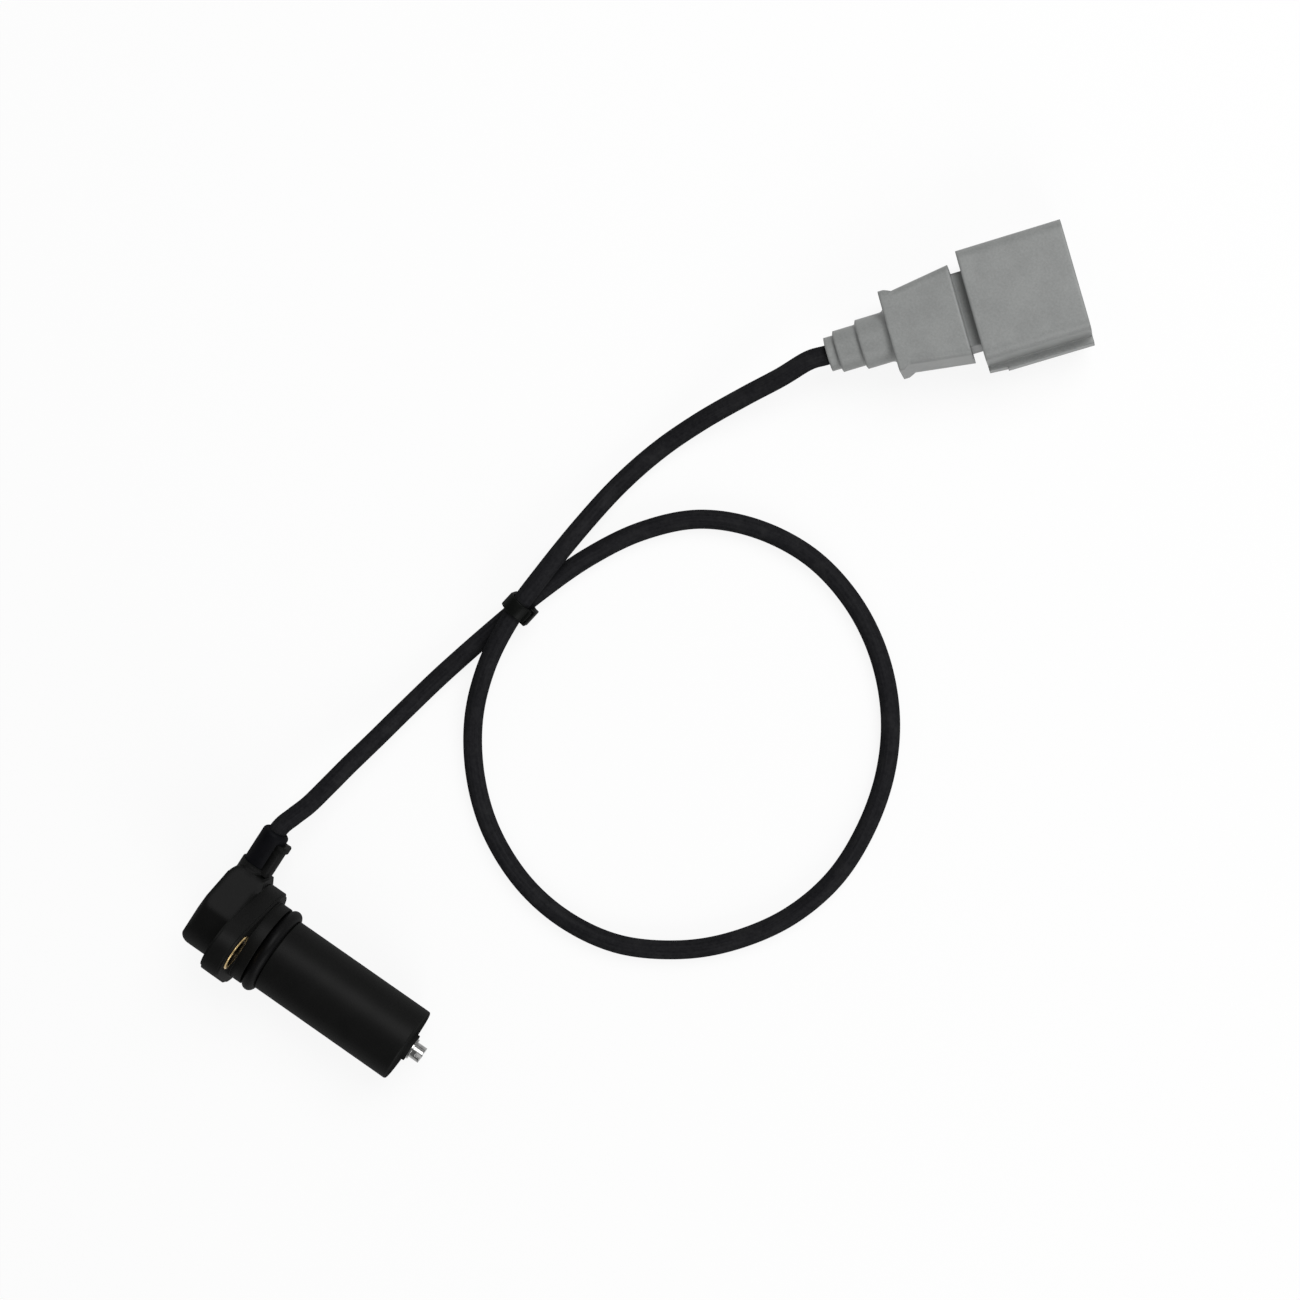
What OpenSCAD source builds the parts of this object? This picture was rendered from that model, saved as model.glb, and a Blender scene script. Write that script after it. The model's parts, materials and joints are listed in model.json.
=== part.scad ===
// Crankshaft position sensor with a moulded flange, a tied cable loop and a three-way connector.
// Millimetres. The origin is on the barrel's axis at the seating face: +X runs to the nose,
// +Y to the cable exit and +Z to the mounting ear. The part lies on the plane at floor_z.

/* [Barrel] */
// Diameter of the barrel that goes into the engine bore
barrel_d = 18; // [17:0.1:20]
// Length from the seating face to the nose face
barrel_l = 42.6; // [40:0.1:50]
// Rounding of the nose edge
nose_round = 0.5; // [0.3:0.1:1.5]
// Diameter of the guide collar next to the flange
collar_d = 20.2; // [19.6:0.1:20.8]
// Length of the guide collar
collar_l = 2.9; // [2:0.1:3.5]
// Diameter of the boss round the pole pin
boss_d = 6.6; // [6:0.1:9]
// Height of the boss above the nose face
boss_h = 1; // [0.4:0.1:2]

/* [Sealing ring] */
// Thickness of the sealing ring's round section
ring_section = 3; // [2.4:0.1:3.2]
// Outer diameter of the sealing ring in its groove
ring_d = 21.2; // [20.9:0.1:21.6]
// Room in the groove beside the ring, on each side
ring_side_gap = 0.2; // [0.1:0.05:0.4]

/* [Flange] */
// Diameter of the round part of the flange
flange_d = 24.6; // [23.5:0.1:27]
// Thickness of the flange
flange_t = 4.8; // [4:0.1:6]
// Height of the mounting hole above the barrel's axis
ear_z = 15.3; // [14.5:0.1:18]
// Radius of the mounting ear
ear_r = 7; // [6:0.1:8]
// Bevel of the flange's edges
flange_bevel = 0.5; // [0.2:0.1:1]

/* [Bush] */
// Outer diameter of the brass bush
bush_d = 8.6; // [8:0.1:9.4]
// Clear hole of the bush, for an M6 screw
bush_bore_d = 6.6; // [6.2:0.1:7.2]
// Height of the bush above the ear, on each side
bush_proud = 0.25; // [0.1:0.05:0.5]
// Depth of the bush's grip groove
bush_groove = 0.4; // [0.2:0.05:0.5]

/* [Head] */
// Distance from the seating face to the back of the head
head_back = 14; // [13.5:0.1:16]
// Slant of the head's back between the middle of the head and its socket
head_taper = 1; // [0:0.1:1.5]
// Height of the head, top to bottom
head_h = 19; // [17:0.1:20]
// Distance from the seating face back to the middle of the cable exit
exit_back = 9.3; // [9.2:0.1:9.4]
// Distance from the barrel's axis to where the head starts to narrow
narrow_from = 3; // [1:0.1:6]
// Distance from the barrel's axis to the rim of the cable socket
socket_reach = 15; // [14:0.1:18]
// Diameter of the cable socket
socket_d = 7.2; // [7:0.1:8]
// Length of the round rim of the cable socket
socket_rim = 1.6; // [1:0.1:3]
// Rounding of the head's back edges
head_round = 2.2; // [1:0.1:2.6]
// Radius of the head's back corner away from the cable
head_corner = 4; // [2:0.1:5]

/* [Grommet] */
// Outer diameter of the rubber grommet
grommet_d = 6.4; // [6:0.1:7]
// Distance from the barrel's axis to the grommet's free end
grommet_reach = 24; // [20:0.1:28]
// Depth of the grommet inside the head
grommet_depth = 5; // [3:0.1:6]
// Rounding of the grommet's free end
grommet_round = 1; // [0.4:0.1:1.1]
// Diameter of the rib's round outside, beside the grommet
rib_d = 8.9; // [8.2:0.1:9.2]
// Width of the support rib beside the grommet
rib_w = 5; // [4:0.1:6]
// Distance from the barrel's axis to the rib's end
rib_reach = 22; // [18:0.1:23]
// Height of the lip at the rib's end
rib_lip = 0.4; // [0.2:0.1:0.8]
// Length of that lip
rib_lip_l = 1.2; // [0.8:0.1:2]

/* [Coil] */
// Plastic in front of the coil
nose_wall = 2; // [1.5:0.1:3]
// Length of the coil bobbin
coil_l = 24; // [20:0.5:26]
// Diameter of the bobbin's end flanges
coil_d = 12.6; // [12:0.1:13]
// Diameter of the wound wire
winding_d = 11.4; // [9:0.1:11.8]
// Wall of the bobbin's tube
bobbin_wall = 0.8; // [0.6:0.1:1.2]
// Thickness of the bobbin's end flanges
bobbin_flange_t = 1.2; // [0.8:0.1:1.6]
// Diameter of the magnet behind the pole pin
magnet_d = 8.4; // [7:0.1:8.8]
// Length of the magnet
magnet_l = 8.5; // [6:0.1:9]
// Diameter of the pole pin
pole_d = 3.9; // [3.4:0.1:4.2]
// Reach of the pole pin beyond its shoulder
pole_out = 2.5; // [1.5:0.1:4]
// Diameter of the pole pin's shoulder
pole_shoulder_d = 5.1; // [4.6:0.1:5.6]
// Height of that shoulder
pole_shoulder_h = 0.5; // [0.3:0.1:1]
// Width of the slot across the pole pin's end
pole_slot_w = 1.1; // [0.8:0.1:1.3]
// Depth of that slot
pole_slot_l = 1.4; // [0.8:0.1:1.5]
// Thickness of the two coil terminals
terminal_d = 1; // [0.8:0.1:1.1]

/* [Cable] */
// Diameter of the cable
cable_d = 4.3; // [3.9:0.1:4.5]
// Room round the cable in its grommet and seal
cable_clear = 0.15; // [0.1:0.05:0.2]
// Turn of the cable tie about the vertical
tie_turn = -9.5; // [-14:0.5:-5]
// Width of the tie's band
tie_w = 3.4; // [2.5:0.1:4]
// Thickness of the tie's band
tie_t = 0.9; // [0.7:0.1:1.1]
// Room between the tie's band and the cable
tie_clear = 0.55; // [0.45:0.05:0.6]
// Size of the tie's head across the cable
tie_head_l = 1.6; // [1.2:0.1:3]

/* [Connector] */
// Turn of the connector about the vertical
connector_turn = 50; // [40:0.1:60]
// Lean of the connector about its own length
connector_lean = 9; // [0:0.5:10]
// Width of the plug housing
shell_w = 24.8; // [23:0.1:26]
// Height of the plug housing
shell_h = 16; // [15:0.1:18]
// Length of the plug housing
shell_l = 23; // [20:0.1:24]
// Wall of the plug housing
shell_wall = 1.7; // [1.2:0.1:2.2]
// Rounding of the plug housing's long edges
shell_round = 2.6; // [2:0.1:3]
// Depth of the plug's mouth
mouth_depth = 16.5; // [14:0.1:18]
// Reach of the side rail beyond the plug housing
rail_out = 1.6; // [0.8:0.1:2]
// Reach of the side rail at its low back end
rail_step = 0.95; // [0.4:0.05:1]
// Height of the side rail
rail_h = 3.4; // [2:0.1:4]
// Distance of the side rail's upper face below the connector's middle
rail_drop = 1; // [0:0.1:2]
// Distance from the plug housing's back to the side rail
rail_start = 4; // [2:0.1:6]
// Width of the slot between the plug housing and the tail
neck_l = 2.4; // [1.5:0.1:3]
// Width left at that slot
neck_w = 16.5; // [14:0.1:17]
// Height left at that slot
neck_h = 8.6; // [7:0.1:11]
// Width of the tail at the slot
tail_front_w = 20.4; // [18.5:0.1:21]
// Width of the tail at its back
tail_rear_w = 15.9; // [15.5:0.1:17]
// Height of the tail
tail_h = 13; // [12.5:0.1:14]
// Length of the tail
tail_l = 15.8; // [15:0.1:17]
// Length of the rim at the tail's back
rim_l = 3; // [2:0.1:4]
// Reach of that rim beyond the tail, on each side
rim_out = 1.1; // [0.6:0.1:1.5]
// Radius of the tail's long edges
tail_round = 1.6; // [0.8:0.1:2.2]
// Diameter of the thick stretch of the cable entry
entry_d = 11; // [10:0.1:11.4]
// Length of that stretch
entry_l = 6.4; // [5:0.1:7]
// Blend between that stretch and the tail
entry_blend = 1.2; // [0.6:0.1:1.4]
// Diameter of the middle stretch of the cable entry
step_d = 9.2; // [8.4:0.1:9.6]
// Length of the middle stretch
step_l = 5.2; // [4:0.1:6]
// Diameter of the ring at the cable
lip_d = 7.5; // [6.9:0.1:7.8]

/* [Contacts] */
// Distance between neighbouring contacts
contact_pitch = 5.2; // [4.8:0.1:6]
// Width of a contact blade
blade_w = 2.8; // [2:0.1:3.2]
// Thickness of a contact blade
blade_t = 0.8; // [0.6:0.1:1]
// Distance from the plug's rim to the blade's tip
blade_setback = 4.5; // [2:0.1:6]
// Length of the bevel at the blade's tip
blade_tip = 1; // [0.5:0.1:1.5]
// Diameter of a contact's crimped barrel
crimp_d = 2.2; // [1.8:0.1:2.6]
// Length of a contact's crimped barrel
crimp_l = 4; // [3:0.1:5]
// Diameter of a cable core
core_d = 1.2; // [1:0.1:1.3]
// Outer diameter of the rubber seal at the cable
seal_d = 5.9; // [5.6:0.1:6]
// Length of that seal
seal_l = 5; // [4:0.1:6]
// Reach of the cable's jacket past that seal
jacket_past_seal = 6; // [4:0.1:7]
// Distance from the tail's back to the crimps
crimp_from = 4; // [3:0.1:5]

/* [Hidden] */
$fn = 48;

// Room for a cut to pass through a face
over = 1;
// The plane that the part lies on
floor_z = -ring_d / 2;

// Barrel, from the seating face forward
groove_w = ring_section + 2 * ring_side_gap;
groove_d = ring_d - 2 * ring_section;
ring_x = collar_l + groove_w / 2;
boss_x = barrel_l + boss_h;

// Coil, from the nose backward
coil_front = barrel_l - nose_wall;
coil_rear = coil_front - coil_l;
magnet_rear = coil_rear - magnet_l;
terminal_z = (magnet_d + coil_d) / 4;

// Head and cable exit
exit_x = -exit_back;
shoulder_y = socket_reach - socket_rim;
grommet_in_y = socket_reach - grommet_depth;
cable_in_y = grommet_in_y - 1.5;
core_z = cable_d / 4;
cable_hole_d = cable_d + 2 * cable_clear;

// Tangent points between the round flange and the ear
ear_sin = (flange_d / 2 - ear_r) / ear_z;
ear_cos = sqrt(1 - ear_sin * ear_sin);
ear_side = [[ear_cos * flange_d / 2, ear_sin * flange_d / 2],
    [ear_cos * ear_r, ear_z + ear_sin * ear_r]];

// Connector, along its own length from the cable side
connector_up = (shell_w / 2 - shell_round) * sin(connector_lean)
    + (shell_h / 2 - shell_round) * cos(connector_lean) + shell_round;
connector_at = [35.1, 181.9, floor_z + connector_up];
lip_x = 0.6;
step_x = lip_x + 2;
entry_x = step_x + step_l;
tail_x = entry_x + entry_l + 0.6;
neck_x = tail_x + tail_l;
shell_x = neck_x + neck_l;
connector_l = shell_x + shell_l;
mouth_x = connector_l - mouth_depth;
cable_in_u = lip_x + seal_l + jacket_past_seal;
crimp_x = tail_x + crimp_from;
blade_x = crimp_x + crimp_l;
blade_end = connector_l - blade_setback;

// Cable tie, round two strands of the cable that lie one above the other
tie_in_r = cable_d / 2 + tie_clear;
tie_out_r = tie_in_r + tie_t;
tie_low_z = floor_z + tie_out_r;
tie_high_z = tie_low_z + cable_d + 0.15;
tie_at = [8.4, 97.4];

// Route of the cable's middle: out of the grommet, down to the floor, through the tie, once round
// the loop, over its own start in the tie and up to the connector
route_free = [[-8.1, 28.8, -0.4], [-6.7, 33, -1], [-5.5, 38.9, -2], [-4.3, 45.3, -3.2],
    [-2.6, 53.5, -5], [-0.6, 63.5, -6.9], [2, 75, -7.9], [6.2, 90, -7.2], [10.1, 102.5, -7.2],
    [15, 115, -8], [21.7, 126.5, -8.4], [31, 136, -8.4], [43, 141.5, -8.4], [56.5, 143, -8.4],
    [69.5, 140, -8.4], [81, 133.5, -8.4], [90.5, 124, -8.4], [97, 112.5, -8.4], [100.5, 99.5, -8.4],
    [101, 86, -8.4], [97.5, 73, -8.4], [90.5, 61.5, -8.4], [81.5, 52.5, -8.4], [69.5, 45.5, -8.4],
    [56.5, 43, -8.4], [43.5, 44.5, -8.4], [31, 50, -8.4], [21, 58.5, -8.2], [13.5, 69.5, -7.2],
    [9.6, 82, -4.6], [8.5, 95, -2.7], [9.2, 108.5, -3.4], [10.3, 121.5, -6.1], [12.1, 133.2, -7.8],
    [15.2, 144.2, -7.9], [19.6, 154.6, -6.6], [24.8, 164.4, -4.2], [29.4, 172.5, -2.3]];
connector_way = [cos(connector_turn), sin(connector_turn), 0];
route = concat(
    [for (y = [cable_in_y, (cable_in_y + grommet_reach) / 2, grommet_reach + 0.5]) [exit_x, y, 0]],
    route_free,
    [for (u = [-4, 0.4, cable_in_u / 2, cable_in_u]) connector_at + u * connector_way]);
route_last = len(route) - 1;
cable_sides = 10;
cable_rings = 80;

// A smooth curve through the route's points
function point(i) = route[max(0, min(route_last, i))];
function blend(a, b, c, d, t) =
    (2 * b + (c - a) * t + (2 * a - 5 * b + 4 * c - d) * t * t
    + (3 * b - a - 3 * c + d) * t * t * t) / 2;
function along(i, t) = blend(point(i - 1), point(i), point(i + 1), point(i + 2), t);
function unit(v) = v / norm(v);
path_last = cable_rings - 1;
path = [for (k = [0:path_last])
    let (s = k * route_last / path_last, i = min(floor(s), route_last - 1)) along(i, s - i)];
function heading(i) = unit(path[min(path_last, i + 1)] - path[max(0, i - 1)]);
function sideways(i) = unit(cross(heading(i), [0, 0, 1]));
function upward(i) = cross(sideways(i), heading(i));

// A tube of one diameter along the path
module swept(d) {
    ring_points = [for (i = [0:path_last], k = [0:cable_sides - 1])
        path[i] + d / 2 * (cos(360 * k / cable_sides) * sideways(i)
        + sin(360 * k / cable_sides) * upward(i))];
    n = cable_sides;
    walls = [for (i = [0:path_last - 1], k = [0:n - 1])
        [i * n + k, i * n + (k + 1) % n, (i + 1) * n + (k + 1) % n, (i + 1) * n + k]];
    ends = [[for (k = [n - 1:-1:0]) k], [for (k = [0:n - 1]) path_last * n + k]];
    polyhedron(ring_points, concat(walls, ends));
}

// A round bar between two points
module bar(a, b, d) {
    v = b - a;
    translate(a)
        rotate([0, acos(v[2] / norm(v)), atan2(v[1], v[0])])
            cylinder(d = d, h = norm(v));
}

// A bent round wire through a few points, a little thicker at its bends
module wire(points, d) {
    for (i = [0:len(points) - 2])
        bar(points[i], points[i + 1], d);
    for (i = [1:len(points) - 2])
        translate(points[i])
            sphere(d = d * 1.12);
}

// Turns a profile of x (length) and y (radius) about the X axis
module turned() {
    rotate([0, 90, 0])
        rotate_extrude()
            mirror([1, -1])
                children();
}

// Extrudes a profile of y and z along X
module along_x(from, to) {
    translate([from, 0, 0])
        rotate([90, 0, 90])
            linear_extrude(to - from)
                children();
}

// Extrudes a profile of x and z along Y
module along_y(from, to) {
    translate([0, to, 0])
        rotate([90, 0, 0])
            linear_extrude(to - from)
                children();
}

// A rectangle with round corners, about the origin
module rounded(w, h, r) {
    square([w - 2 * r, h], center = true);
    square([w, h - 2 * r], center = true);
    for (x = [-1, 1], y = [-1, 1])
        translate([x * (w / 2 - r), y * (h / 2 - r)])
            circle(r);
}

module at_ear() {
    translate([0, 0, ear_z])
        rotate([0, 90, 0])
            children();
}

module at_exit(y) {
    translate([exit_x, y, 0])
        rotate([-90, 0, 0])
            children();
}

module at_connector() {
    translate(connector_at)
        rotate([0, 0, connector_turn])
            rotate([-connector_lean, 0, 0])
                children();
}

// Outline of the flange with its ear, flat where it lies on the floor
module flange_outline(inset) {
    intersection() {
        union() {
            circle(flange_d / 2 - inset);
            translate([0, ear_z])
                circle(ear_r - inset);
            polygon([for (p = [ear_side[0], ear_side[1]]) p - inset * [ear_cos, ear_sin],
                for (p = [ear_side[1], ear_side[0]])
                    [inset * ear_cos - p[0], p[1] - inset * ear_sin]]);
        }
        translate([-flange_d, floor_z])
            square([2 * flange_d, ear_z + ear_r - floor_z]);
    }
}

module flange_body() {
    along_x(-flange_t + flange_bevel, -flange_bevel)
        flange_outline(0);
    along_x(-flange_t, 0)
        flange_outline(flange_bevel);
}

// The barrel with its collar, ring groove, nose and boss
module barrel_body() {
    turned()
        union() {
            polygon([[-flange_t, 0], [-flange_t, groove_d / 2], [0, groove_d / 2],
                [0, collar_d / 2], [collar_l, collar_d / 2], [collar_l, groove_d / 2],
                [collar_l + groove_w, groove_d / 2], [collar_l + groove_w, barrel_d / 2],
                [barrel_l - nose_round, barrel_d / 2], [barrel_l - nose_round, 0]]);
            translate([collar_l + groove_w, 0])
                square([barrel_l - collar_l - groove_w, barrel_d / 2 - nose_round]);
            translate([barrel_l - nose_round, barrel_d / 2 - nose_round])
                circle(nose_round);
            square([boss_x, boss_d / 2]);
        }
}

// Side of the head seen along the barrel: round away from the cable, narrowing to its socket
module head_side() {
    circle(head_h / 2);
    polygon([[0, head_h / 2], [narrow_from, head_h / 2], [shoulder_y, socket_d / 2],
        [shoulder_y, -socket_d / 2], [narrow_from, -head_h / 2], [0, -head_h / 2]]);
}

// Plan of the head: its back slants to the socket, and both back corners are round
module head_plan() {
    y_low = -head_h / 2;
    y_front = min(flange_d / 2, shoulder_y) - 2 * over;
    difference() {
        polygon([[-head_back, y_low], [-flange_t + over, y_low], [-flange_t + over, y_front],
            [exit_x + rib_d / 2, shoulder_y], [-head_back + head_taper, shoulder_y], [-head_back, 0]]);
        translate([-head_back, y_low])
            corner_waste(head_corner);
        translate([-head_back + head_taper, shoulder_y])
            mirror([0, 1])
                corner_waste(head_round);
    }
}

// What a round corner takes away from a square one at the origin
module corner_waste(r) {
    difference() {
        translate([-over, -over])
            square(r + over);
        translate([r, r])
            circle(r);
    }
}

// Side of the head seen along the cable: both back edges are round
module head_end() {
    difference() {
        translate([-head_back, -head_h / 2])
            square([head_back - flange_t + over, head_h]);
        for (s = [-1, 1])
            translate([-head_back, s * head_h / 2])
                scale([1, -s])
                    corner_waste(head_round);
    }
}

module head_body() {
    intersection() {
        along_x(-head_back, -flange_t + over)
            head_side();
        translate([0, 0, -head_h / 2])
            linear_extrude(head_h)
                head_plan();
        along_y(-head_h / 2, shoulder_y)
            head_end();
    }
    at_exit(0)
        cylinder(d = socket_d, h = socket_reach);
}

// The socket's wall runs on beside the grommet as a rib, with a lip at its end
module rib_body() {
    intersection() {
        union() {
            at_exit(socket_reach - over)
                cylinder(d = rib_d, h = rib_reach - socket_reach + over);
            at_exit(rib_reach - rib_lip_l)
                cylinder(d = rib_d + 2 * rib_lip, h = rib_lip_l);
        }
        translate([exit_x + 1, 0, -rib_w / 2])
            cube([rib_d, rib_reach, rib_w]);
    }
}

// Everything that the plastic of the sensor is moulded round
module sensor_cores() {
    turned() {
        translate([coil_rear, 0])
            square([coil_l, coil_d / 2]);
        translate([magnet_rear, 0])
            square([magnet_l, magnet_d / 2]);
        translate([coil_rear, 0])
            square([boss_x - coil_rear + over, pole_d / 2]);
    }
    coil_terminal(1);
    coil_terminal(-1);
    at_exit(cable_in_y)
        cylinder(d = cable_hole_d, h = grommet_depth + 2);
    at_exit(grommet_in_y)
        cylinder(d = grommet_d, h = grommet_reach);
    at_ear()
        translate([0, 0, -flange_t - over])
            cylinder(d = bush_d - 2 * bush_groove, h = flange_t + 2 * over);
}

module sensor_housing() {
    color("#2a2b2d")
        difference() {
            union() {
                barrel_body();
                flange_body();
                head_body();
                rib_body();
            }
            sensor_cores();
            mounting_bush_body(0);
        }
}

// The bush grips the plastic with a groove half way along
module mounting_bush_body(bore_d) {
    groove_l = flange_t / 3;
    at_ear()
        difference() {
            translate([0, 0, -flange_t - bush_proud])
                cylinder(d = bush_d, h = flange_t + 2 * bush_proud);
            translate([0, 0, -flange_t / 2 - groove_l / 2])
                difference() {
                    cylinder(d = bush_d + over, h = groove_l);
                    cylinder(d = bush_d - 2 * bush_groove, h = groove_l);
                }
            translate([0, 0, -flange_t - over])
                cylinder(d = bore_d, h = flange_t + 2 * over);
        }
}

module mounting_bush() {
    color("#b98f45")
        mounting_bush_body(bush_bore_d);
}

module o_ring() {
    color("#1c1c1d")
        turned()
            translate([ring_x, (ring_d - ring_section) / 2])
                circle(d = ring_section);
}

module pole_pin() {
    tip_x = boss_x + pole_shoulder_h + pole_out;
    color("#b9bab8")
        difference() {
            turned()
                union() {
                    translate([coil_rear, 0])
                        square([tip_x - coil_rear, pole_d / 2]);
                    translate([boss_x, 0])
                        square([pole_shoulder_h, pole_shoulder_d / 2]);
                }
            translate([tip_x - pole_slot_l, -pole_slot_w / 2, -pole_d])
                cube([pole_slot_l + over, pole_slot_w, 2 * pole_d]);
        }
}

module pole_magnet() {
    color("#77787a")
        turned()
            translate([magnet_rear, 0])
                square([magnet_l, magnet_d / 2]);
}

module coil_bobbin() {
    color("#d8d2c2")
        turned()
            difference() {
                translate([coil_rear, pole_d / 2])
                    square([coil_l, (coil_d - pole_d) / 2]);
                translate([coil_rear + bobbin_flange_t, pole_d / 2 + bobbin_wall])
                    square([coil_l - 2 * bobbin_flange_t, coil_d]);
            }
}

module coil_winding() {
    inner = pole_d / 2 + bobbin_wall;
    color("#b5652f")
        turned()
            translate([coil_rear + bobbin_flange_t, inner])
                square([coil_l - 2 * bobbin_flange_t, winding_d / 2 - inner]);
}

// A terminal runs back beside the magnet and turns to a core of the cable
module coil_terminal(side) {
    wire([[coil_rear, 0, side * terminal_z],
        [exit_x, 0, side * terminal_z],
        [exit_x, cable_in_y - 1.5, side * core_z],
        [exit_x, cable_in_y, side * core_z]], terminal_d);
}

module coil_terminal_1() {
    color("#c9a24e")
        coil_terminal(1);
}

module coil_terminal_2() {
    color("#c9a24e")
        coil_terminal(-1);
}

module cable_grommet() {
    color("#1f2022")
        at_exit(0)
            rotate_extrude()
                difference() {
                    union() {
                        translate([0, grommet_in_y])
                            square([grommet_d / 2, grommet_reach - grommet_round - grommet_in_y]);
                        translate([0, grommet_in_y])
                            square([grommet_d / 2 - grommet_round, grommet_reach - grommet_in_y]);
                        translate([grommet_d / 2 - grommet_round, grommet_reach - grommet_round])
                            circle(grommet_round);
                    }
                    translate([0, grommet_in_y - over])
                        square([cable_hole_d / 2, grommet_reach - grommet_in_y + 2 * over]);
                }
}

module cable() {
    color("#222326")
        swept(cable_d);
}

// Section of the tie's band at one inner or outer radius
module tie_loop(r) {
    for (z = [tie_low_z, tie_high_z])
        translate([0, z])
            circle(r);
    translate([-r, tie_low_z])
        square([2 * r, tie_high_z - tie_low_z]);
}

module cable_tie() {
    head_z = (tie_low_z + tie_high_z) / 2;
    color("#18191a")
        translate([tie_at[0], tie_at[1], 0])
            rotate([0, 0, tie_turn])
                difference() {
                    union() {
                        along_y(-tie_w / 2, tie_w / 2)
                            tie_loop(tie_out_r);
                        translate([0, -tie_w / 2 - 0.4, head_z - 1.2])
                            cube([tie_out_r + tie_head_l - tie_t, tie_w + 0.8, 4]);
                    }
                    along_y(-tie_w, tie_w)
                        tie_loop(tie_in_r);
                }
}

// The round cable entry: a ring, two steps and a blend into the tail
module entry_body() {
    turned() {
        translate([lip_x, 0])
            square([step_x - lip_x, lip_d / 2]);
        polygon([[step_x, 0], [step_x, lip_d / 2], [step_x + 0.3, step_d / 2],
            [entry_x, step_d / 2], [entry_x + 0.4, entry_d / 2], [tail_x, entry_d / 2],
            [tail_x, 0]]);
        difference() {
            translate([tail_x - entry_blend, 0])
                square([entry_blend, entry_d / 2 + entry_blend]);
            translate([tail_x - entry_blend, entry_d / 2 + entry_blend])
                circle(entry_blend);
        }
    }
}

// Plan of the tail: it widens to the slot
module tail_plan() {
    polygon([[tail_x, tail_rear_w / 2], [neck_x, tail_front_w / 2], [neck_x, -tail_front_w / 2],
        [tail_x, -tail_rear_w / 2]]);
}

// Plan of the rim across the tail's back: it flares out to the cable side
module rim_plan() {
    half = tail_rear_w / 2;
    polygon([[tail_x, half + rim_out], [tail_x + rim_l / 3, half + rim_out], [tail_x + rim_l, half],
        [tail_x + rim_l, -half], [tail_x + rim_l / 3, -half - rim_out], [tail_x, -half - rim_out]]);
}

// The tail: its four long edges are round, and so are the ends of its rim
module tail_body() {
    flare = atan((tail_front_w - tail_rear_w) / 2 / tail_l);
    difference() {
        translate([0, 0, -tail_h / 2])
            linear_extrude(tail_h)
                tail_plan();
        for (s = [-1, 1], t = [-1, 1])
            translate([tail_x, s * tail_rear_w / 2, t * tail_h / 2])
                rotate([0, 0, s * flare])
                    along_x(-3 * over, tail_l + 3 * over)
                        scale([-s, -t])
                            corner_waste(tail_round);
    }
    intersection() {
        translate([0, 0, -tail_h / 2])
            linear_extrude(tail_h)
                rim_plan();
        along_x(tail_x - over, tail_x + rim_l + over)
            rounded(tail_rear_w + 2 * rim_out, tail_h, tail_round);
    }
}

// The plug housing, with a side rail that steps down towards its back end
module shell_body() {
    along_x(shell_x, connector_l)
        rounded(shell_w, shell_h, shell_round);
    translate([shell_x + rail_start, -shell_w / 2 - rail_out, -rail_drop - rail_h])
        cube([shell_l - rail_start, rail_out + shell_round, rail_h]);
    translate([0, 0, -rail_drop - rail_h])
        linear_extrude(rail_h)
            polygon([[shell_x, -shell_w / 2 - rail_step],
                [shell_x + rail_start, -shell_w / 2 - 1.3 * rail_step],
                [shell_x + rail_start + over, -shell_w / 2 + shell_round],
                [shell_x, -shell_w / 2 + shell_round]]);
}

module mouth() {
    along_x(mouth_x, connector_l + over)
        rounded(shell_w - 2 * shell_wall, shell_h - 2 * shell_wall, shell_round - shell_wall / 2);
}

module connector_housing() {
    color("#a3a6a5")
        at_connector()
            difference() {
                union() {
                    entry_body();
                    tail_body();
                    along_x(neck_x - over, shell_x + over)
                        square([neck_w, neck_h], center = true);
                    shell_body();
                }
                mouth();
                along_x(lip_x - over, lip_x + seal_l)
                    circle(d = seal_d);
                along_x(0, cable_in_u)
                    circle(d = cable_hole_d);
                for (i = [-1:1]) {
                    contact(i);
                    core(i);
                }
            }
}

module cable_seal_ring() {
    color("#3a3b3d")
        at_connector()
            along_x(lip_x, lip_x + seal_l)
                difference() {
                    circle(d = seal_d);
                    circle(d = cable_hole_d);
                }
}

// A contact: a crimped barrel on the core and a flat blade with a bevelled tip
module contact(i) {
    translate([0, i * contact_pitch, 0]) {
        along_x(crimp_x, blade_x)
            circle(d = crimp_d);
        translate([0, 0, -blade_t / 2])
            linear_extrude(blade_t)
                polygon([[blade_x, -blade_w / 2], [blade_end - blade_tip, -blade_w / 2],
                    [blade_end, -blade_w / 2 + blade_tip / 2], [blade_end, blade_w / 2 - blade_tip / 2],
                    [blade_end - blade_tip, blade_w / 2], [blade_x, blade_w / 2]]);
    }
}

// A core of the cable fans out to its contact, cut square at both ends
module core(i) {
    from = [cable_in_u, i * core_d * 1.2, 0];
    to = [crimp_x, i * contact_pitch, 0];
    past = unit(to - from) * core_d;
    intersection() {
        bar(from - past, to + past, core_d);
        along_x(cable_in_u, crimp_x)
            square([connector_l, 2 * core_d], center = true);
    }
}

module contact_pin_1() {
    color("#c8c4b4")
        at_connector()
            contact(-1);
}

module contact_pin_2() {
    color("#c8c4b4")
        at_connector()
            contact(0);
}

module contact_pin_3() {
    color("#c8c4b4")
        at_connector()
            contact(1);
}

module core_1() {
    color("#8c3b34")
        at_connector()
            core(-1);
}

module core_2() {
    color("#3f4a8c")
        at_connector()
            core(0);
}

module core_3() {
    color("#6b6c6e")
        at_connector()
            core(1);
}

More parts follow.
